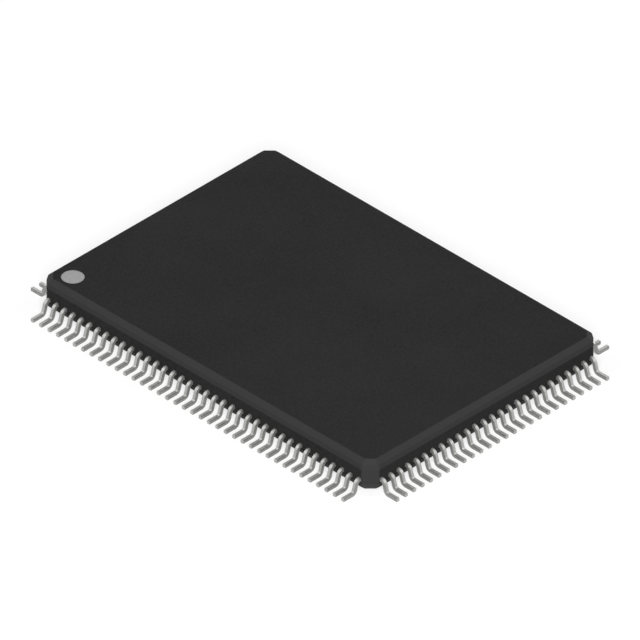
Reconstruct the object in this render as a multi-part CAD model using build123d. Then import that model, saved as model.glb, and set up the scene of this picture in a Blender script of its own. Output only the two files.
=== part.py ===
from build123d import *
import os
from math import radians, sqrt, tan

# Surface-mount integrated circuit in a low-profile quad flat package with gull-wing leads, in
# millimetres. A moulded body encloses a copper lead frame, and the silicon die is glued to the
# frame's paddle.
#
# The origin is the middle of the package on the plane that the lead feet stand on. +X runs along
# the long side, +Y along the short side and +Z up. The pin 1 dot is at the -X, -Y corner, and the
# pins count anticlockwise from there, seen from above.

# Pin layout
pitch = 0.50
pins_long_side = 38
pins_short_side = 26
end_margin = 0.65  # middle of a side's last lead to the end of that side's wall

# Moulded body
standoff = 0.05  # seating plane to the body's underside
body_thickness = 1.55
band_height = 0.74  # upright wall round the middle, which the leads come out of
draft_inset = 0.06  # lean of the drafted wall above and below the band
bevel_height = 0.20
bevel_inset = 0.22
corner_chamfer = 0.50
corner_radius = 0.25  # rounds both ends of a corner chamfer
least_corner_radius = 0.02  # where the bevel has used up the corner radius

# Gull-wing leads
lead_width = 0.17
lead_thickness = 0.18
lead_reach = 1.00  # body wall to the lead's tip
lead_frame_drop = 0.16  # middle of the lead frame below the middle of the body
lead_stub = 0.04  # level run between the wall and the shoulder bend
leg_angle = 74.0  # leg from the horizontal, in degrees
bend_radius = 0.09  # inside radius of the shoulder and heel bends
outside_flats = 4  # flats that draw the outside of each bend
heel_inside_flats = 2
shoulder_inside_flats = 1

# Lead frame inside the body
inner_tip_pitch = 0.24
inner_tip_width = 0.12
tip_corner_gap = 0.55  # middle of a side's last inner tip to the next side's line of tips
paddle_gap = 0.50  # paddle's edge to the inner tips
paddle_downset = 0.20  # paddle below the plane of the leads
tie_bar_width = 0.25
tie_bar_slope_run = 0.35  # length over which a tie bar climbs out of the downset
tie_bar_cover = 0.20  # moulding compound over the outer end of a tie bar

# Die
die_edge_margin = 0.75  # paddle's edge to the die's edge
die_thickness = 0.28
die_attach_thickness = 0.025
die_attach_margin = 0.10  # how far the adhesive shows round the die

# Pin 1 dot and the marks that the ejector pins leave on the underside
dot_diameter = 1.00
dot_from_end = 1.10  # middle of the dot to the wall on the short side
dot_from_side = 0.97  # middle of the dot to the wall on the long side
dot_recess = 0.05
dot_thickness = 0.03
ejector_mark_diameter = 1.20
ejector_mark_depth = 0.04
ejector_mark_from_end = 3.20
ejector_mark_from_side = 2.60

# Blocks and discs are placed by the middle of their underside.
on_base = (Align.CENTER, Align.CENTER, Align.MIN)

# Sizes that follow from the ones above
body_length = (pins_long_side - 1) * pitch + 2 * end_margin
body_width = (pins_short_side - 1) * pitch + 2 * end_margin
body_top = standoff + body_thickness
body_middle = standoff + body_thickness / 2
leads_underside = body_middle - lead_frame_drop - lead_thickness / 2
outer_bend_radius = bend_radius + lead_thickness
tip_ring_half_length = (pins_long_side - 1) / 2 * inner_tip_pitch + tip_corner_gap
tip_ring_half_width = (pins_short_side - 1) / 2 * inner_tip_pitch + tip_corner_gap
paddle_half_length = tip_ring_half_length - paddle_gap
paddle_half_width = tip_ring_half_width - paddle_gap
paddle_underside = leads_underside - paddle_downset
paddle_top = paddle_underside + lead_thickness
die_underside = paddle_top + die_attach_thickness
die_length = 2 * (paddle_half_length - die_edge_margin)
die_width = 2 * (paddle_half_width - die_edge_margin)

# Each side in the order of its pins: its turn about Z from the -Y side, its number of pins, and how
# far its wall and its line of inner tips stand from the middle of the package.
long_side = (pins_long_side, body_width / 2, tip_ring_half_width)
short_side = (pins_short_side, body_length / 2, tip_ring_half_length)
sides = [(0, *long_side), (90, *short_side), (180, *long_side), (270, *short_side)]


def body_outline(inset):
    """Plan outline of the body moved in by the inset: a rectangle with chamfered, rounded corners."""
    half_length = body_length / 2 - inset
    half_width = body_width / 2 - inset
    leg = corner_chamfer - inset * (2 - sqrt(2))
    quarter = [(half_length, half_width - leg), (half_length - leg, half_width)]
    corners = quarter + [(-x, y) for x, y in reversed(quarter)]
    corners += [(-x, -y) for x, y in corners]
    outline = make_face(Polyline(*corners, close=True))
    return fillet(outline.vertices(), max(corner_radius - inset, least_corner_radius))


def body_blank():
    """Outer form of the body: bevel, drafted wall and upright band, with the same again below."""
    band_half = band_height / 2
    full_inset = draft_inset + bevel_inset
    upper = [(body_middle + band_half, 0), (body_top - bevel_height, draft_inset), (body_top, full_inset)]
    lower = [(2 * body_middle - height, inset) for height, inset in reversed(upper)]
    return loft([Pos(0, 0, height) * body_outline(inset) for height, inset in lower + upper], ruled=True)


def bend(corner, heading, turn, radius, flats):
    """Points of a bend that rounds a corner, which are the ends of equal flats along its arc.

    The heading is the direction of travel into the corner and the turn is the change in it, both in
    degrees and positive anticlockwise.
    """
    ahead = Vector(1, 0).rotate(Axis.Z, heading)
    tangent_length = radius * tan(radians(abs(turn)) / 2)
    arc = JernArc(Vector(corner) - ahead * tangent_length, ahead, radius, turn)
    whole_flats = round(flats)
    return [arc @ (step / whole_flats) for step in range(whole_flats + 1)]


def lead_profile():
    """Side view of a lead outside the wall, with X outwards from the wall and Y up.

    The shoulder and the heel are turned on the same inside radius, so their outsides share a larger
    one. Their arcs are drawn as a few flats each, as there are so many leads.
    """
    half_turn = tan(radians(leg_angle) / 2)
    leads_top = leads_underside + lead_thickness
    shoulder_x = lead_stub + outer_bend_radius * half_turn
    heel_x = shoulder_x + leads_underside / tan(radians(leg_angle))
    mitre = lead_thickness * half_turn  # how far a leg's inside corner lies behind its outside one
    shoulder_outside = bend((shoulder_x, leads_top), 0, -leg_angle, outer_bend_radius, outside_flats)
    heel_inside = bend((heel_x, lead_thickness), -leg_angle, leg_angle, bend_radius, heel_inside_flats)
    heel_outside = bend((heel_x - mitre, 0), 180, -leg_angle, outer_bend_radius, outside_flats)
    shoulder_inside = bend(
        (shoulder_x - mitre, leads_underside), 180 - leg_angle, leg_angle, bend_radius, shoulder_inside_flats
    )
    tip = [(lead_reach, lead_thickness), (lead_reach, 0)]
    root = [(0, leads_underside), (0, leads_top)]
    return make_face(
        Polyline(*shoulder_outside, *heel_inside, *tip, *heel_outside, *shoulder_inside, *root, close=True)
    )


def inner_lead(along, wall, tip_line):
    """The part of a lead inside the body, fanning in from the wall to its tip beside the paddle."""
    tip_along = along * inner_tip_pitch / pitch
    root = [(along - lead_width / 2, -wall), (along + lead_width / 2, -wall)]
    tip = [(tip_along + inner_tip_width / 2, -tip_line), (tip_along - inner_tip_width / 2, -tip_line)]
    plan = make_face(Polyline(*root, *tip, close=True))
    return extrude(Pos(0, 0, leads_underside) * plan, lead_thickness)


def leads_of_side(turn, count, wall, tip_line):
    """One side's leads as separate solids, made on the -Y side and turned to their own."""
    profile = lead_profile()
    leads = []
    for pin in range(count):
        along = (pin - (count - 1) / 2) * pitch
        upright = Plane(origin=(along, -wall, 0), x_dir=(0, -1, 0), z_dir=(-1, 0, 0))
        outer = extrude(upright * profile, lead_width / 2, both=True)
        leads.append(Rot(0, 0, turn) * (outer + inner_lead(along, wall, tip_line)))
    return Compound([lead.solid() for lead in leads])


def tie_bar():
    """Bar from the paddle's corner towards the body's corner, climbing to the plane of the leads."""
    start = Vector(paddle_half_length - tie_bar_width, paddle_half_width - tie_bar_width)
    corner = Vector(body_length / 2 - corner_chamfer / 2, body_width / 2 - corner_chamfer / 2)
    run = corner - start
    end = run.length - tie_bar_cover
    slope_start = tie_bar_width * sqrt(2)
    slope_end = slope_start + tie_bar_slope_run
    underside = [
        (0, paddle_underside),
        (slope_start, paddle_underside),
        (slope_end, leads_underside),
        (end, leads_underside),
    ]
    upper = [(x, height + lead_thickness) for x, height in reversed(underside)]
    upright = Plane(origin=start, x_dir=run, z_dir=run.cross(Vector(0, 0, 1)))
    return extrude(upright * make_face(Polyline(*underside, *upper, close=True)), tie_bar_width / 2, both=True)


def die_paddle():
    """Plate that carries the die, with a tie bar at each corner, pressed down from the same sheet."""
    plate = Box(2 * paddle_half_length, 2 * paddle_half_width, lead_thickness, align=on_base)
    paddle = Pos(0, 0, paddle_underside) * plate
    bar = tie_bar()
    mirrored = mirror(bar, about=Plane.YZ)
    return paddle + [bar, mirrored, mirror(bar, about=Plane.XZ), mirror(mirrored, about=Plane.XZ)]


def slab(length, width, thickness, underside):
    """A plain rectangular layer in the middle of the package."""
    return Pos(0, 0, underside) * Box(length, width, thickness, align=on_base)


def ejector_marks():
    """Cutters for the two shallow round marks on the underside, at opposite corners."""
    x = body_length / 2 - ejector_mark_from_end
    y = body_width / 2 - ejector_mark_from_side
    cutter = Cylinder(ejector_mark_diameter / 2, 2 * ejector_mark_depth)
    return [Pos(x, -y, standoff) * cutter, Pos(-x, y, standoff) * cutter]


def build_nodes():
    """Every node of the part by name."""
    leads = [leads_of_side(*side) for side in sides]
    die = slab(die_length, die_width, die_thickness, die_underside)
    attach_length = die_length + 2 * die_attach_margin
    attach_width = die_width + 2 * die_attach_margin
    attach = slab(attach_length, attach_width, die_attach_thickness, paddle_top)
    paddle = die_paddle()

    dot_place = Pos(dot_from_end - body_length / 2, dot_from_side - body_width / 2, body_top)
    recess = dot_place * Cylinder(dot_diameter / 2, 2 * dot_recess)
    dot_blank = Cylinder(dot_diameter / 2, dot_thickness, align=on_base)
    dot = dot_place * Pos(0, 0, -dot_recess) * dot_blank

    inserts = [lead for group in leads for lead in group.solids()]
    inserts += [paddle, attach, die]
    body = body_blank() - [recess, *ejector_marks()]
    body = body - inserts

    nodes = {
        "package_body": body,
        "pin_1_dot": dot,
        "die_paddle": paddle,
        "die_attach": attach,
        "silicon_die": die,
    }
    first = 1
    for (_, count, _, _), group in zip(sides, leads):
        nodes[f"leads_{first}_to_{first + count - 1}"] = group
        first += count
    return nodes


os.makedirs("parts", exist_ok=True)
for name, shape in build_nodes().items():
    export_step(shape, f"parts/{name}.step")
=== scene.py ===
import logging
from dataclasses import dataclass, field
from enum import Enum
from typing import Any

import bpy
import numpy as np
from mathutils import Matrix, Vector


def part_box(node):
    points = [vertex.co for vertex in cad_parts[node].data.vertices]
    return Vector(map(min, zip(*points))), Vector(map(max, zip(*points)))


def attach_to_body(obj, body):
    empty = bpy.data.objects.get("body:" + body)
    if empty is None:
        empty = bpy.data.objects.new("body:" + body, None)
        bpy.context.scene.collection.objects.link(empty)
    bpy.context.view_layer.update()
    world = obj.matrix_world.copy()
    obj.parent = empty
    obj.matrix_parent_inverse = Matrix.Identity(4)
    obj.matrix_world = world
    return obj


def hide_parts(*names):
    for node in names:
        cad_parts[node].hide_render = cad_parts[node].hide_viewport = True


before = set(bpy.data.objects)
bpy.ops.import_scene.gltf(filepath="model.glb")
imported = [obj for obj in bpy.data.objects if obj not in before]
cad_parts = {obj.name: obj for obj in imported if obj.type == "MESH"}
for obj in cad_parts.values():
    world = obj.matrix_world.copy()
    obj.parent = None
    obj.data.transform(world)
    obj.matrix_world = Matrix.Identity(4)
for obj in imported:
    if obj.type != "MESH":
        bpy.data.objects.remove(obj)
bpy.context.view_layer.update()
log = logging.getLogger("integrated_circuit")

MM = 0.001  # every size below is in millimetres, and Blender's unit is the metre
BOX_DECIMALS = 5  # places of a millimetre, few enough to drop a mesh's single-precision error

# A noise texture mostly keeps to the middle of its range of 0 to 1. These are the values that count
# as its lowest and its highest, and the narrow pair gives the stronger contrast.
WIDE_NOISE = (0.30, 0.70)
NARROW_NOISE = (0.35, 0.65)

# A Mix node's inputs and outputs share their names, so they are told apart by number.
SHARE, FIRST_NUMBER, SECOND_NUMBER, FIRST_COLOUR, SECOND_COLOUR = 0, 2, 3, 6, 7
MIXED_NUMBER, MIXED_COLOUR = 0, 2


class Side(Enum):
    """The package's sides in the order of their pins, each with its turn about Z from the -Y side."""

    PINS_1_TO_38 = 0
    PINS_39_TO_64 = 90
    PINS_65_TO_102 = 180
    PINS_103_TO_128 = 270

    @property
    def is_long(self) -> bool:
        """Whether this is one of the two long sides."""
        return self.value % 180 == 0

    @property
    def node(self) -> str:
        """Name of the CAD node that holds this side's leads."""
        return self.name.lower().replace("pins", "leads")


class LeadFace(Enum):
    """The kinds of face on a lead, each with the number of its finish among the piece's materials.

    The first three are outside the body. The last two are inside it: the bare sheet, and the tip
    that a wire is bonded to.
    """

    ROLLED = 0
    STAMPED = 1
    EDGE = 2
    BARE = 3
    BONDED = 4


def linear(hex_colour: str) -> tuple[float, float, float, float]:
    """Turn an sRGB hex colour into linear RGBA by the sRGB standard's curve.

    Args:
        hex_colour: a colour such as "#2f2f2f".

    Returns:
        Linear red, green and blue, with an alpha of 1.
    """
    coded = np.array([int(hex_colour[i : i + 2], 16) for i in (1, 3, 5)]) / 255
    value = np.where(coded <= 0.04045, coded / 12.92, ((coded + 0.055) / 1.055) ** 2.4)
    return (*(float(v) for v in value), 1.0)


def per_metre(size_mm: float) -> float:
    """Texture scale whose features are this many millimetres across."""
    return 1 / (size_mm * MM)


def box_in_mm(node: str) -> tuple[np.ndarray, np.ndarray]:
    """Box of a CAD node in millimetres.

    Args:
        node: the node's name.

    Returns:
        Its lowest and its highest corner, rounded to rid them of the mesh's single precision.
    """
    low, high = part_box(node)
    return np.round(np.array(low) / MM, BOX_DECIMALS), np.round(np.array(high) / MM, BOX_DECIMALS)


def add_node(
    tree: bpy.types.NodeTree, kind: str, inputs: dict[str | int, Any] | None = None, **settings: Any
) -> bpy.types.Node:
    """Add a node with its settings and links.

    Args:
        tree: the node tree that gets the node.
        kind: Blender's name for the node's type.
        inputs: a value, or an output socket to link, for each input by name or number.
        **settings: the node's own properties.

    Returns:
        The new node.
    """
    node = tree.nodes.new(kind)
    for name, value in settings.items():
        setattr(node, name, value)
    for key, value in (inputs or {}).items():
        if isinstance(value, bpy.types.NodeSocket):
            tree.links.new(value, node.inputs[key])
        else:
            node.inputs[key].default_value = value
    return node


def empty_material(name: str) -> tuple[bpy.types.Material, bpy.types.NodeTree]:
    """Make a material with nothing in its node tree.

    Args:
        name: the material's name.

    Returns:
        The material and its tree.
    """
    material = bpy.data.materials.new(name)
    material.use_nodes = True
    material.node_tree.nodes.clear()
    return material, material.node_tree


@dataclass(frozen=True)
class MouldedEpoxy:
    """Black epoxy filled with silica, moulded against a spark-eroded steel face.

    To the eye it is an even, matt near-black with a very fine grain. The real grain is about
    0.03 mm, too fine to show, so it is drawn three times as coarse. The leaning faces and corners
    are painted a little paler, by as much as the photograph has them: painted light, standing in for
    the brighter light that falls on faces turned towards the line of sight. The specular level is
    far below real epoxy's, as the photograph shows no gloss.
    """

    name: str = "black_moulded_epoxy"
    resin: str = "#202020"
    filler: str = "#2a2a2a"
    # Painted light: the paler colour of the leaning faces and corners, and the lean at which it is full.
    painted_lean_light: str = "#333333"
    painted_light_lean: float = 0.95
    grain_mm: float = 0.09
    grain_octaves: float = 3.0
    cloud_mm: float = 3.5
    cloud_octaves: float = 2.0
    cloud_share: float = 0.3
    grain_depth_mm: float = 0.003
    roughness: tuple[float, float] = (0.60, 0.64)
    ior: float = 1.55
    specular: float = 0.02

    def leaning(self, tree: bpy.types.NodeTree) -> bpy.types.NodeSocket:
        """Add the nodes that find faces square to none of the part's axes.

        The largest of a face's normal along X, Y and Z is 1 on a square face and less on a leaning
        one, so the share grows from 0 to 1 as that falls from 1 to the stated lean.

        Args:
            tree: the node tree that gets the nodes.

        Returns:
            A socket with the share of painted light.
        """
        normal = add_node(tree, "ShaderNodeTexCoord").outputs["Normal"]
        size = add_node(tree, "ShaderNodeVectorMath", {0: normal}, operation="ABSOLUTE").outputs[0]
        x, y, z = add_node(tree, "ShaderNodeSeparateXYZ", {0: size}).outputs
        level = add_node(tree, "ShaderNodeMath", {0: x, 1: y}, operation="MAXIMUM").outputs[0]
        most = add_node(tree, "ShaderNodeMath", {0: level, 1: z}, operation="MAXIMUM").outputs[0]
        return add_node(
            tree, "ShaderNodeMapRange", {"Value": most, "From Min": 1.0, "From Max": self.painted_light_lean}
        ).outputs["Result"]

    def material(self) -> bpy.types.Material:
        """Build the material."""
        material, tree = empty_material(self.name)
        place = add_node(tree, "ShaderNodeTexCoord").outputs["Object"]
        grain = add_node(
            tree,
            "ShaderNodeTexNoise",
            {"Vector": place, "Scale": per_metre(self.grain_mm), "Detail": self.grain_octaves},
        ).outputs["Fac"]
        cloud = add_node(
            tree,
            "ShaderNodeTexNoise",
            {"Vector": place, "Scale": per_metre(self.cloud_mm), "Detail": self.cloud_octaves},
        ).outputs["Fac"]
        share = add_node(
            tree,
            "ShaderNodeMix",
            {SHARE: self.cloud_share, FIRST_NUMBER: grain, SECOND_NUMBER: cloud},
            data_type="FLOAT",
        ).outputs[MIXED_NUMBER]
        least, most = NARROW_NOISE
        filler_share = add_node(
            tree, "ShaderNodeMapRange", {"Value": share, "From Min": least, "From Max": most}
        ).outputs["Result"]
        skin = add_node(
            tree,
            "ShaderNodeMix",
            {SHARE: filler_share, FIRST_COLOUR: linear(self.resin), SECOND_COLOUR: linear(self.filler)},
            data_type="RGBA",
        ).outputs[MIXED_COLOUR]
        # Painted light: leaning faces and corners take the paler colour in place of the skin's.
        colour = add_node(
            tree,
            "ShaderNodeMix",
            {SHARE: self.leaning(tree), FIRST_COLOUR: skin, SECOND_COLOUR: linear(self.painted_lean_light)},
            data_type="RGBA",
        ).outputs[MIXED_COLOUR]
        least, most = WIDE_NOISE
        smoothest, roughest = self.roughness
        roughness = add_node(
            tree,
            "ShaderNodeMapRange",
            {"Value": cloud, "From Min": least, "From Max": most, "To Min": smoothest, "To Max": roughest},
        ).outputs["Result"]
        bump = add_node(
            tree, "ShaderNodeBump", {"Height": grain, "Distance": self.grain_depth_mm * MM}
        ).outputs["Normal"]
        surface = add_node(
            tree,
            "ShaderNodeBsdfPrincipled",
            {
                "Base Color": colour,
                "Roughness": roughness,
                "IOR": self.ior,
                "Specular IOR Level": self.specular,
                "Normal": bump,
            },
        )
        add_node(tree, "ShaderNodeOutputMaterial", {"Surface": surface.outputs["BSDF"]})
        return material


@dataclass(frozen=True)
class PlatedMetal:
    """Thin metal plating on copper alloy sheet, or bare rolled or drawn metal.

    Matt electroplate gives the eye a soft, satin reflection with a fine frosted grain. Its crystals
    scatter part of the light like a pale paint, which is what a metallic share under 1 stands for.
    """

    name: str
    colour: str
    dull_colour: str
    roughness: tuple[float, float]
    grain_mm: float
    grain_depth_mm: float
    metallic: float = 1.0
    patch_in_grains: float = 8.0
    grain_octaves: float = 4.0
    patch_octaves: float = 2.0

    def material(self) -> bpy.types.Material:
        """Build the material."""
        material, tree = empty_material(self.name)
        place = add_node(tree, "ShaderNodeTexCoord").outputs["Object"]
        grain = add_node(
            tree,
            "ShaderNodeTexNoise",
            {"Vector": place, "Scale": per_metre(self.grain_mm), "Detail": self.grain_octaves},
        ).outputs["Fac"]
        patch_mm = self.patch_in_grains * self.grain_mm
        patch = add_node(
            tree,
            "ShaderNodeTexNoise",
            {"Vector": place, "Scale": per_metre(patch_mm), "Detail": self.patch_octaves},
        ).outputs["Fac"]
        least, most = WIDE_NOISE
        share = add_node(
            tree, "ShaderNodeMapRange", {"Value": patch, "From Min": least, "From Max": most}
        ).outputs["Result"]
        colour = add_node(
            tree,
            "ShaderNodeMix",
            {SHARE: share, FIRST_COLOUR: linear(self.dull_colour), SECOND_COLOUR: linear(self.colour)},
            data_type="RGBA",
        ).outputs[MIXED_COLOUR]
        smoothest, roughest = self.roughness
        roughness = add_node(
            tree,
            "ShaderNodeMapRange",
            {"Value": grain, "From Min": least, "From Max": most, "To Min": smoothest, "To Max": roughest},
        ).outputs["Result"]
        bump = add_node(
            tree, "ShaderNodeBump", {"Height": grain, "Distance": self.grain_depth_mm * MM}
        ).outputs["Normal"]
        surface = add_node(
            tree,
            "ShaderNodeBsdfPrincipled",
            {"Base Color": colour, "Metallic": self.metallic, "Roughness": roughness, "Normal": bump},
        )
        add_node(tree, "ShaderNodeOutputMaterial", {"Surface": surface.outputs["BSDF"]})
        return material


# Matt tin as it leaves the bath: a pale satin grey on the leads' broad faces and ends.
MATT_TIN = PlatedMetal("matt_tin_plate", "#b2b2b0", "#a4a4a2", (0.50, 0.58), 0.05, 0.0015, 0.85)
# The same tin over the torn metal of the stamped sides, which is rougher. Its darker colour is
# partly the rougher metal and partly painted shade, toning down the light the sides catch from the floor.
STAMPED_TIN_PAINTED_SHADE = PlatedMetal("tin_over_stamped_edge", "#969694", "#868684", (0.58, 0.68), 0.03, 0.003, 0.85)
# The edges between them, burnished by the forming tool: smoother, and a shade darker than the sides.
BURNISHED_TIN = PlatedMetal("burnished_tin_edge", "#868684", "#7a7a78", (0.42, 0.50), 0.03, 0.001, 0.85)
# Copper alloy sheet as it is rolled, which the body covers: a soft reddish brown with a dull shine.
BARE_COPPER = PlatedMetal("rolled_copper_alloy", "#cba18a", "#b98f79", (0.35, 0.45), 0.05, 0.001)
# Bright silver on the paddle and the inner tips, which the adhesive and wires bond to: a warm white
# with a soft shine.
SILVER = PlatedMetal("silver_plate", "#e4e2dc", "#cfccc4", (0.28, 0.4), 0.05, 0.001)
# Drawn wire, smooth enough to carry a line of light along each loop.
GOLD = PlatedMetal("drawn_gold", "#e2b45c", "#d2a44e", (0.18, 0.26), 0.02, 0.0002)

LEAD_FINISHES = {
    LeadFace.ROLLED: MATT_TIN,
    LeadFace.STAMPED: STAMPED_TIN_PAINTED_SHADE,
    LeadFace.EDGE: BURNISHED_TIN,
    LeadFace.BARE: BARE_COPPER,
    LeadFace.BONDED: SILVER,
}


@dataclass(frozen=True)
class FlatPrint:
    """A flat opaque layer, such as cured ink or adhesive, with fine specks and a slightly uneven tone."""

    name: str
    colour: str
    speck_colour: str
    speck_mm: float
    roughness: float
    specular: float = 0.2
    ior: float = 1.5
    relief_in_specks: float = 0.02
    speck_octaves: float = 3.0

    def material(self) -> bpy.types.Material:
        """Build the material."""
        material, tree = empty_material(self.name)
        place = add_node(tree, "ShaderNodeTexCoord").outputs["Object"]
        speck = add_node(
            tree,
            "ShaderNodeTexNoise",
            {"Vector": place, "Scale": per_metre(self.speck_mm), "Detail": self.speck_octaves},
        ).outputs["Fac"]
        least, most = NARROW_NOISE
        share = add_node(
            tree, "ShaderNodeMapRange", {"Value": speck, "From Min": least, "From Max": most}
        ).outputs["Result"]
        colour = add_node(
            tree,
            "ShaderNodeMix",
            {SHARE: share, FIRST_COLOUR: linear(self.speck_colour), SECOND_COLOUR: linear(self.colour)},
            data_type="RGBA",
        ).outputs[MIXED_COLOUR]
        relief_mm = self.relief_in_specks * self.speck_mm
        bump = add_node(
            tree, "ShaderNodeBump", {"Height": speck, "Distance": relief_mm * MM}
        ).outputs["Normal"]
        surface = add_node(
            tree,
            "ShaderNodeBsdfPrincipled",
            {
                "Base Color": colour,
                "Roughness": self.roughness,
                "IOR": self.ior,
                "Specular IOR Level": self.specular,
                "Normal": bump,
            },
        )
        add_node(tree, "ShaderNodeOutputMaterial", {"Surface": surface.outputs["BSDF"]})
        return material


# A flat pale grey ink, dull enough to stay the same grey from every side.
DOT_INK = FlatPrint("pale_grey_ink", "#9a9a9a", "#929292", 0.07, 0.65, 0.05)
# Cured paste full of silver flake: a pale grey with a fine glitter.
ADHESIVE = FlatPrint("silver_filled_epoxy", "#c2beb6", "#a29e96", 0.03, 0.45)


@dataclass(frozen=True)
class PatternedSilicon:
    """Polished silicon with a passivated circuit on its face.

    To the eye it is a dark blue-grey mirror broken up by small rectangular blocks of circuit, with
    narrow streets between them.
    """

    name: str = "patterned_silicon"
    bare: str = "#50565e"
    circuit: str = "#7a6f86"
    block_length_mm: float = 0.56
    block_width_mm: float = 0.28
    street_mm: float = 0.014
    roughness: float = 0.16
    ior: float = 3.9

    def material(self) -> bpy.types.Material:
        """Build the material."""
        material, tree = empty_material(self.name)
        place = add_node(tree, "ShaderNodeTexCoord").outputs["Object"]
        blocks = add_node(
            tree,
            "ShaderNodeTexBrick",
            {
                "Vector": place,
                "Color1": linear(self.bare),
                "Color2": linear(self.circuit),
                "Mortar": linear(self.bare),
                "Scale": per_metre(1.0),
                "Mortar Size": self.street_mm,
                "Brick Width": self.block_length_mm,
                "Row Height": self.block_width_mm,
            },
        ).outputs["Color"]
        surface = add_node(
            tree,
            "ShaderNodeBsdfPrincipled",
            {"Base Color": blocks, "Roughness": self.roughness, "IOR": self.ior},
        )
        add_node(tree, "ShaderNodeOutputMaterial", {"Surface": surface.outputs["BSDF"]})
        return material


def mesh_piece(
    name: str,
    points: np.ndarray,
    faces: list[tuple[int, ...]],
    corner_normals: np.ndarray,
    finish: np.ndarray,
) -> bpy.types.Object:
    """Make a mesh object at the origin from worked-out points.

    Args:
        name: the piece's name.
        points: one row of X, Y and Z for each vertex, in millimetres.
        faces: the vertex numbers of each face, anticlockwise from outside.
        corner_normals: one normal for each corner of each face, in the faces' order.
        finish: the number of each face's material among the piece's materials.

    Returns:
        The object, linked to the scene.
    """
    mesh = bpy.data.meshes.new(name)
    mesh.from_pydata((points * MM).tolist(), [], faces, shade_flat=False)
    mesh.polygons.foreach_set("material_index", finish)
    mesh.normals_split_custom_set(corner_normals.tolist())
    piece = bpy.data.objects.new(name, mesh)
    bpy.context.scene.collection.objects.link(piece)
    return piece


@dataclass
class SweptBars:
    """Closed bars that all have the same net: stations along the bar, and a ring of points at each.

    Attributes:
        rings: points in millimetres, shaped bars by stations by ring by 3. A ring runs
            anticlockwise as seen from the far end of the bar.
        ring_normals: the surface normal at each of those points, shaped alike.
        side_finishes: the finish numbers of a bar's side faces, all round and then on to the next
            station, repeated where they are fewer. The near end has the first, and the far end 0.
    """

    rings: np.ndarray
    ring_normals: np.ndarray
    side_finishes: tuple[int, ...] = (0,)

    def numbers(self) -> np.ndarray:
        """Vertex numbers of the rings' points, shaped bars by stations by ring."""
        return np.arange(self.rings[..., 0].size).reshape(self.rings.shape[:3])

    def faces(self) -> np.ndarray:
        """Vertex numbers of the side quads, one row each, bar after bar.

        The quad between station s and s + 1 and ring points i and i + 1 has the corners (s, i),
        (s, i + 1), (s + 1, i + 1) and (s + 1, i).
        """
        number = self.numbers()
        after = np.roll(number, -1, axis=2)
        quads = np.stack([number[:, :-1], after[:, :-1], after[:, 1:], number[:, 1:]], axis=-1)
        return quads.reshape(-1, 4)

    def caps(self) -> tuple[np.ndarray, np.ndarray]:
        """Vertex numbers of the end faces, the near one turned round so that it looks outwards."""
        number = self.numbers()
        return number[:, 0, ::-1], number[:, -1]

    def build(self, name: str) -> bpy.types.Object:
        """Make the mesh object.

        Args:
            name: the piece's name.

        Returns:
            The object.
        """
        ring = self.rings.shape[2]
        points = self.rings.reshape(-1, 3)
        normals = self.ring_normals.reshape(-1, 3)
        quads = self.faces()
        near, far = self.caps()
        middle = self.rings.mean(axis=2)
        near_normal = middle[:, 0] - middle[:, 1]
        far_normal = middle[:, -1] - middle[:, -2]
        near_normal /= np.linalg.norm(near_normal, axis=1, keepdims=True)
        far_normal /= np.linalg.norm(far_normal, axis=1, keepdims=True)
        corner_normals = np.concatenate(
            [
                normals[quads.ravel()],
                np.repeat(near_normal, ring, axis=0),
                np.repeat(far_normal, ring, axis=0),
            ]
        )
        faces = [tuple(face) for part in (quads, near, far) for face in part.tolist()]
        finish = np.zeros(len(faces), dtype=np.int32)
        finish[: len(quads)] = np.resize(self.side_finishes, len(quads))
        finish[len(quads) : len(quads) + len(near)] = self.side_finishes[0]
        return mesh_piece(name, points, faces, corner_normals, finish)


def turned(rows: np.ndarray, degrees: float) -> np.ndarray:
    """Turn points or normals about Z.

    Args:
        rows: an array whose last axis holds X, Y and Z.
        degrees: the turn, anticlockwise from above.

    Returns:
        The turned array.
    """
    c, s = np.cos(np.radians(degrees)), np.sin(np.radians(degrees))
    return rows @ np.array([[c, s, 0], [-s, c, 0], [0, 0, 1]])


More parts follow.
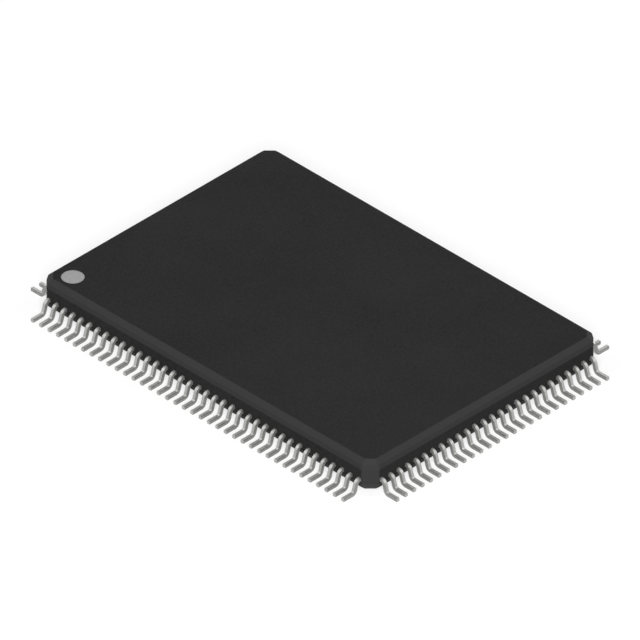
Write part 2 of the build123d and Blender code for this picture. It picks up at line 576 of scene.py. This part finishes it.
@dataclass
class LeadRow:
    """One side's gull-wing leads, from their inner tips to their toes, with their long edges cut back.

    Sizes are in millimetres. The row is worked out on the -Y side and turned to its own. The places
    that it shares with the CAD model are read from the frame: the wall that the leads come out of,
    the lines of their inner tips and of their toes, and their underside before the bends.
    """

    side: Side
    pitch: float = 0.50
    pins_long_side: int = 38
    pins_short_side: int = 26
    tip_pitch: float = 0.24
    tip_width: float = 0.12
    silvered_tip: float = 0.60
    width: float = 0.17
    thickness: float = 0.18
    stub: float = 0.04
    leg_angle: float = 74.0
    bend_radius: float = 0.09
    edge_round: float = 0.022
    bend_steps: int = 4
    wall: float = field(init=False)
    tip_line: float = field(init=False)
    toe_line: float = field(init=False)
    underside: float = field(init=False)

    def __post_init__(self) -> None:
        """Read the shared places from the frame."""
        across = 1 if self.side.is_long else 0
        self.wall = box_in_mm("package_body")[1][across]
        low, high = box_in_mm(self.side.node)
        self.tip_line, self.toe_line = sorted((abs(low[across]), abs(high[across])))
        self.underside = high[2] - self.thickness

    @property
    def count(self) -> int:
        """Number of leads on this side."""
        return self.pins_long_side if self.side.is_long else self.pins_short_side

    def along(self) -> np.ndarray:
        """Each lead's place along the side."""
        return (np.arange(self.count) - (self.count - 1) / 2) * self.pitch

    def centre_line(self) -> tuple[np.ndarray, np.ndarray, np.ndarray]:
        """Side view of the line through the middle of a lead.

        The line starts at the inner tip and has its next stations where the silver ends and at the
        wall. It runs level to the shoulder, turns down by the leg angle on an arc of the bend
        radius plus half the thickness, falls straight, and turns level again on the same arc. With
        the slope angle a, a point of the shoulder is its centre plus r (sin a, cos a), and a point
        of the heel is its centre minus r (sin a, cos a).

        Returns:
            Distance from the middle of the package, height, and slope angle in radians, at each
            station.
        """
        radius = self.bend_radius + self.thickness / 2
        angle = np.radians(self.leg_angle)
        down = np.linspace(0, angle, self.bend_steps + 1)
        up = down[::-1]
        outer = self.bend_radius + self.thickness
        corner = np.tan(angle / 2)
        shoulder = self.wall + self.stub
        heel = shoulder + outer * corner + self.underside / np.tan(angle) + self.bend_radius * corner
        out = [
            [self.tip_line, self.tip_line + self.silvered_tip, self.wall],
            shoulder + radius * np.sin(down),
            heel - radius * np.sin(up),
            [self.toe_line],
        ]
        level = self.underside + self.thickness / 2
        height = [
            [level, level, level],
            self.underside - self.bend_radius + radius * np.cos(down),
            outer - radius * np.cos(up),
            [self.thickness / 2],
        ]
        return np.concatenate(out), np.concatenate(height), np.concatenate([[0, 0, 0], down, up, [0]])

    def section(self, width: np.ndarray) -> tuple[np.ndarray, np.ndarray, np.ndarray, np.ndarray]:
        """Cross-section of a lead: a rectangle with its four edges cut back, as eight points.

        Args:
            width: the lead's width at each station.

        Returns:
            Across and up of each point, shaped stations by 8, and across and up of its normal,
            which is that of the flat side it ends, so that the sides stay flat to the eye.
        """
        half = width[:, None] / 2
        across_sign = np.array([1, 1, 1, -1, -1, -1, -1, 1])
        up_sign = np.array([-1, 1, 1, 1, 1, -1, -1, -1])
        on_side = np.array([1, 1, 0, 0, 1, 1, 0, 0])
        across = across_sign * (half - (1 - on_side) * self.edge_round)
        up = np.broadcast_to(up_sign * (self.thickness / 2 - on_side * self.edge_round), across.shape)
        return across, up, across_sign * on_side, up_sign * (1 - on_side)

    def finishes(self, stations: int) -> tuple[int, ...]:
        """Finishes of a lead's side faces, in the order that the swept bars take them in.

        Args:
            stations: the number of stations along the lead.

        Returns:
            The silvered tip, then the bare sheet up to the wall, and past it the sides, edges, top
            and underside of each length.
        """
        around = 2 * [LeadFace.STAMPED, LeadFace.EDGE, LeadFace.ROLLED, LeadFace.EDGE]
        inside = [len(around) * [LeadFace.BONDED], len(around) * [LeadFace.BARE]]
        lengths = stations - 1
        faces = sum(inside, []) + (lengths - len(inside)) * around
        return tuple(face.value for face in faces)

    def build(self) -> bpy.types.Object:
        """Make the row as one mesh.

        A ring point stands at the station, moved across along the side, and up along the normal of
        the slope, which is (sin a, cos a) outwards and upwards. From the wall inwards the leads
        narrow and draw together evenly.

        Returns:
            The row's object.
        """
        out, height, slope = self.centre_line()
        inwards = np.clip((self.wall - out) / (self.wall - self.tip_line), 0, 1)
        width = self.width + inwards * (self.tip_width - self.width)
        across, up, normal_across, normal_up = self.section(width)
        spread = 1 + inwards * (self.tip_pitch / self.pitch - 1)
        lead_place = self.along()[:, None, None] * spread[None, :, None]
        sine, cosine = np.sin(slope)[:, None], np.cos(slope)[:, None]
        shape = (self.count, len(out), len(normal_across))
        rings = np.stack(
            [
                lead_place + across[None],
                np.broadcast_to(-(out[:, None] + up * sine), shape),
                np.broadcast_to(height[:, None] + up * cosine, shape),
            ],
            axis=-1,
        )
        ring_normals = np.stack(
            [
                np.broadcast_to(normal_across, shape),
                np.broadcast_to(-normal_up * sine, shape),
                np.broadcast_to(normal_up * cosine, shape),
            ],
            axis=-1,
        )
        turn = self.side.value
        bars = SweptBars(turned(rings, turn), turned(ring_normals, turn), self.finishes(len(out)))
        return bars.build(f"{self.side.node}_formed")


@dataclass
class BondWires:
    """One side's gold wires, from balls on the die's edge to stitches on the inner tips.

    Sizes are in millimetres. The wires are worked out on the -Y side and turned to their own. The
    die's edges and top are read from the frame.
    """

    leads: LeadRow
    pad_inset: float = 0.10
    pad_end_margin: float = 0.20
    stitch_inset: float = 0.15
    loop_height: float = 0.17
    wire_radius: float = 0.0125
    ball_radius: float = 0.032
    ring_points: int = 6
    ball_stations: int = 2
    rise_power: float = 0.6
    line_steps: tuple[float, ...] = (0.0, 0.004, 0.02, 0.06, 0.16, 0.32, 0.52, 0.76, 1.0)

    def path(self) -> np.ndarray:
        """Line through the middle of each wire, shaped wires by stations by 3.

        With t from 0 at the ball to 1 at the stitch, the plan place goes straight across, and the
        height is the straight line between its ends plus the loop height times sin(pi t^p). The
        rise power p is below 1, so the wire rises steeply from the ball and falls gently to the
        lead. The steps of t crowd towards the ball, where the wire bends most.
        """
        half_length, half_width, die_top = box_in_mm("silicon_die")[1]
        long_side = self.leads.side.is_long
        die_edge, die_run = (half_width, half_length) if long_side else (half_length, half_width)
        along = self.leads.along()
        level = np.ones(self.leads.count)
        start = np.stack(
            [
                along / along.max() * (die_run - self.pad_end_margin),
                level * (self.pad_inset - die_edge),
                level * die_top,
            ],
            axis=-1,
        )
        end = np.stack(
            [
                along * self.leads.tip_pitch / self.leads.pitch,
                level * -(self.leads.tip_line + self.stitch_inset),
                level * (self.leads.underside + self.leads.thickness + self.wire_radius),
            ],
            axis=-1,
        )
        t = np.array(self.line_steps)[None, :, None]
        line = start[:, None] * (1 - t) + end[:, None] * t
        line[..., 2] += self.loop_height * np.sin(np.pi * t[..., 0] ** self.rise_power)
        return line

    def build(self) -> bpy.types.Object:
        """Make the side's wires as one mesh.

        Each ring is a hexagon square to the wire, whose radius shrinks from the ball's to the
        wire's. The wire lies in an upright plane, so one axis of every ring is level.

        Returns:
            The wires' object.
        """
        line = self.path()
        tangent = np.gradient(line, axis=1)
        tangent /= np.linalg.norm(tangent, axis=-1, keepdims=True)
        level = np.cross(np.broadcast_to([0.0, 0.0, 1.0], line[:, :1].shape), line[:, -1:] - line[:, :1])
        level = np.broadcast_to(level / np.linalg.norm(level, axis=-1, keepdims=True), line.shape)
        normal = np.cross(tangent, level)
        radius = np.full(line.shape[1], self.wire_radius)
        radius[: self.ball_stations] = self.ball_radius
        angle = np.linspace(0, 2 * np.pi, self.ring_points, endpoint=False)
        outwards = level[:, :, None] * np.cos(angle)[:, None] + normal[:, :, None] * np.sin(angle)[:, None]
        rings = line[:, :, None] + outwards * radius[None, :, None, None]
        turn = self.leads.side.value
        name = self.leads.side.node.replace("leads", "bond_wires")
        return SweptBars(turned(rings, turn), turned(outwards, turn)).build(name)


@dataclass
class Package:
    """The whole integrated circuit: the CAD solids with their finishes, the formed leads and wires."""

    body: str = "package_body"
    dot: str = "pin_1_dot"
    paddle: str = "die_paddle"
    attach: str = "die_attach"
    die: str = "silicon_die"

    def dress_node(self, node: str, material: bpy.types.Material) -> None:
        """Give a CAD node its finish.

        Args:
            node: the node's name.
            material: the finish.
        """
        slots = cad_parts[node].data.materials
        slots.clear()
        slots.append(material)
        log.info("node %s has %s", node, material.name)

    def add_leads(self) -> list[LeadRow]:
        """Put the formed leads in place of the CAD ones.

        Returns:
            The four rows.
        """
        materials = [LEAD_FINISHES[face].material() for face in LeadFace]
        rows = [LeadRow(side) for side in Side]
        for row in rows:
            piece = row.build()
            for material in materials:
                piece.data.materials.append(material)
            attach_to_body(piece, "root")
            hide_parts(row.side.node)
            log.info("%s has %d leads", piece.name, row.count)
        return rows

    def add_wires(self, rows: list[LeadRow]) -> None:
        """Bond the die to the leads.

        Args:
            rows: the rows of leads.
        """
        gold = GOLD.material()
        for row in rows:
            piece = BondWires(row).build()
            piece.data.materials.append(gold)
            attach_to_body(piece, "root")
            log.info("%s has %d wires", piece.name, row.count)

    def build(self) -> None:
        """Dress the CAD nodes and add the pieces."""
        self.dress_node(self.body, MouldedEpoxy().material())
        self.dress_node(self.dot, DOT_INK.material())
        self.dress_node(self.paddle, SILVER.material())
        self.dress_node(self.attach, ADHESIVE.material())
        self.dress_node(self.die, PatternedSilicon().material())
        rows = self.add_leads()
        self.add_wires(rows)


@dataclass(frozen=True)
class Softbox:
    """A round soft lamp that faces the object. Sizes are in millimetres and the power in watts."""

    name: str
    towards: tuple[float, float, float]
    distance: float
    size: float
    power: float

    def hang(self) -> None:
        """Hang the lamp in its direction from the middle of the floor."""
        light = bpy.data.lights.new(self.name, "AREA")
        light.shape = "DISK"
        light.size = self.size * MM
        light.energy = self.power
        lamp = bpy.data.objects.new(self.name, light)
        direction = Vector(self.towards).normalized()
        lamp.location = direction * self.distance * MM
        lamp.rotation_euler = direction.to_track_quat("Z", "Y").to_euler()
        bpy.context.scene.collection.objects.link(lamp)


# The key hangs far out on the line of sight, so that the top and both seen walls are lit alike and
# the floor is lit evenly. The glint lamps hang where the body's bevels and the bends of the leads
# mirror them. The fill lamps stand low, to light the two hidden walls and hardly touch the top. The
# one under the floor lights only what faces down. The powers, and the floor's tone and lift, were
# set by comparing renders with the photograph.
LAMPS = (
    Softbox("key", (1.0, -1.0, 1.0), 800.0, 400.0, 8.5),
    Softbox("left_glint", (-1.0, -0.9, 1.1), 300.0, 100.0, 0.12),
    Softbox("right_glint", (0.9, 1.0, 1.1), 300.0, 100.0, 0.12),
    Softbox("left_fill", (-1.0, 0.4, 0.12), 260.0, 50.0, 0.20),
    Softbox("back_fill", (-0.4, 1.0, 0.12), 260.0, 50.0, 0.20),
    Softbox("under_lamp", (0.0, 0.0, -1.0), 400.0, 250.0, 1.4),
)


@dataclass
class Studio:
    """A pale sweep, soft light and the camera. Sizes are in millimetres."""

    floor_radius: float = 280.0
    sweep_radius: float = 180.0
    sweep_angle: float = 80.0
    sweep_steps: int = 16
    turn_steps: int = 96
    hub_radius: float = 0.001
    floor_colour: str = "#9c9c9c"
    floor_lift: float = 0.66
    sky_level: float = 0.12
    view_direction: tuple[float, float, float] = (1.0, -1.0, 1.0)
    aim_height: float = 0.80
    view_width: float = 26.97
    camera_distance: float = 200.0
    nearest_seen: float = 1.0
    farthest_seen: float = 2000.0

    def seen_directly(self, tree: bpy.types.NodeTree) -> bpy.types.NodeSocket:
        """Add the light path test for camera, glossy and transmission rays.

        Args:
            tree: the node tree that gets the nodes.

        Returns:
            A socket that is 1 for those rays and 0 for the others.
        """
        path = add_node(tree, "ShaderNodeLightPath").outputs
        camera, glossy, through = path["Is Camera Ray"], path["Is Glossy Ray"], path["Is Transmission Ray"]
        either = add_node(tree, "ShaderNodeMath", {0: camera, 1: glossy}, operation="MAXIMUM").outputs[0]
        return add_node(tree, "ShaderNodeMath", {0: either, 1: through}, operation="MAXIMUM").outputs[0]

    def floor_material(self) -> bpy.types.Material:
        """Make the floor's finish: a matt mid grey, lifted to white where it is seen.

        It is clear to the eye from below, and to the lamp that hangs under it, so that the
        underside can be looked at too.
        """
        material, tree = empty_material("pale_floor")
        matt = add_node(tree, "ShaderNodeBsdfDiffuse", {"Color": linear(self.floor_colour)}).outputs[0]
        lift = add_node(
            tree,
            "ShaderNodeMath",
            {0: self.seen_directly(tree), 1: self.floor_lift},
            operation="MULTIPLY",
        ).outputs[0]
        glow = add_node(tree, "ShaderNodeEmission", {"Strength": lift}).outputs[0]
        lit = add_node(tree, "ShaderNodeAddShader", {0: matt, 1: glow}).outputs[0]
        clear = add_node(tree, "ShaderNodeBsdfTransparent").outputs[0]
        below = add_node(tree, "ShaderNodeNewGeometry").outputs["Backfacing"]
        to_lamp = add_node(tree, "ShaderNodeLightPath").outputs["Is Shadow Ray"]
        open_to = add_node(tree, "ShaderNodeMath", {0: below, 1: to_lamp}, operation="MAXIMUM").outputs[0]
        surface = add_node(tree, "ShaderNodeMixShader", {0: open_to, 1: lit, 2: clear}).outputs[0]
        add_node(tree, "ShaderNodeOutputMaterial", {"Surface": surface})
        return material

    def add_floor(self) -> None:
        """Lay a round pale floor that curves up into a low wall all round.

        The wall is an arc swept round Z: with slope angle a, its radius is the floor's plus
        r sin a and its height is r (1 - cos a). The middle is a hub too small to see.
        """
        rise = np.radians(np.linspace(0, self.sweep_angle, self.sweep_steps + 1))
        radius = np.concatenate([[self.hub_radius], self.floor_radius + self.sweep_radius * np.sin(rise)])
        height = np.concatenate([[0], self.sweep_radius * (1 - np.cos(rise))])
        turn = np.linspace(0, 2 * np.pi, self.turn_steps, endpoint=False)
        points = np.stack(
            [
                radius[:, None] * np.cos(turn),
                radius[:, None] * np.sin(turn),
                np.broadcast_to(height[:, None], (len(radius), len(turn))),
            ],
            axis=-1,
        )
        number = np.arange(points[..., 0].size).reshape(points.shape[:2])
        after = np.roll(number, -1, axis=1)
        faces = np.stack([number[:-1], number[1:], after[1:], after[:-1]], axis=-1).reshape(-1, 4)
        mesh = bpy.data.meshes.new("floor")
        mesh.from_pydata((points.reshape(-1, 3) * MM).tolist(), [], faces.tolist(), shade_flat=False)
        mesh.materials.append(self.floor_material())
        floor = bpy.data.objects.new("floor", mesh)
        bpy.context.scene.collection.objects.link(floor)

    def add_sky(self) -> None:
        """Surround the sweep with a white backdrop that gives off only dim even light."""
        world = bpy.data.worlds.new("room")
        bpy.context.scene.world = world
        world.use_nodes = True
        tree = world.node_tree
        tree.nodes.clear()
        level = add_node(
            tree,
            "ShaderNodeMix",
            {SHARE: self.seen_directly(tree), FIRST_NUMBER: self.sky_level, SECOND_NUMBER: 1.0},
            data_type="FLOAT",
        ).outputs[MIXED_NUMBER]
        back = add_node(tree, "ShaderNodeBackground", {"Color": linear("#ffffff"), "Strength": level})
        add_node(tree, "ShaderNodeOutputWorld", {"Surface": back.outputs[0]})

    def add_camera(self) -> None:
        """Look along the photograph's isometric line of sight, with no perspective."""
        data = bpy.data.cameras.new("camera")
        data.type = "ORTHO"
        data.ortho_scale = self.view_width * MM
        data.clip_start = self.nearest_seen * MM
        data.clip_end = self.farthest_seen * MM
        camera = bpy.data.objects.new("camera", data)
        direction = Vector(self.view_direction).normalized()
        camera.location = Vector((0, 0, self.aim_height * MM)) + direction * self.camera_distance * MM
        camera.rotation_euler = direction.to_track_quat("Z", "Y").to_euler()
        bpy.context.scene.collection.objects.link(camera)
        bpy.context.scene.camera = camera

    def build(self) -> None:
        """Set up the whole studio."""
        bpy.context.scene.view_settings.view_transform = "Standard"
        self.add_camera()
        self.add_sky()
        self.add_floor()
        for lamp in LAMPS:
            lamp.hang()
        log.info("studio is set")


def write_sizes() -> None:
    log.info("sizes are written")


def main() -> None:
    """Build the studio and the package."""
    logging.basicConfig(level=logging.INFO, format="%(name)s: %(message)s")
    Studio().build()
    Package().build()
    write_sizes()


if __name__ == "__main__":
    main()
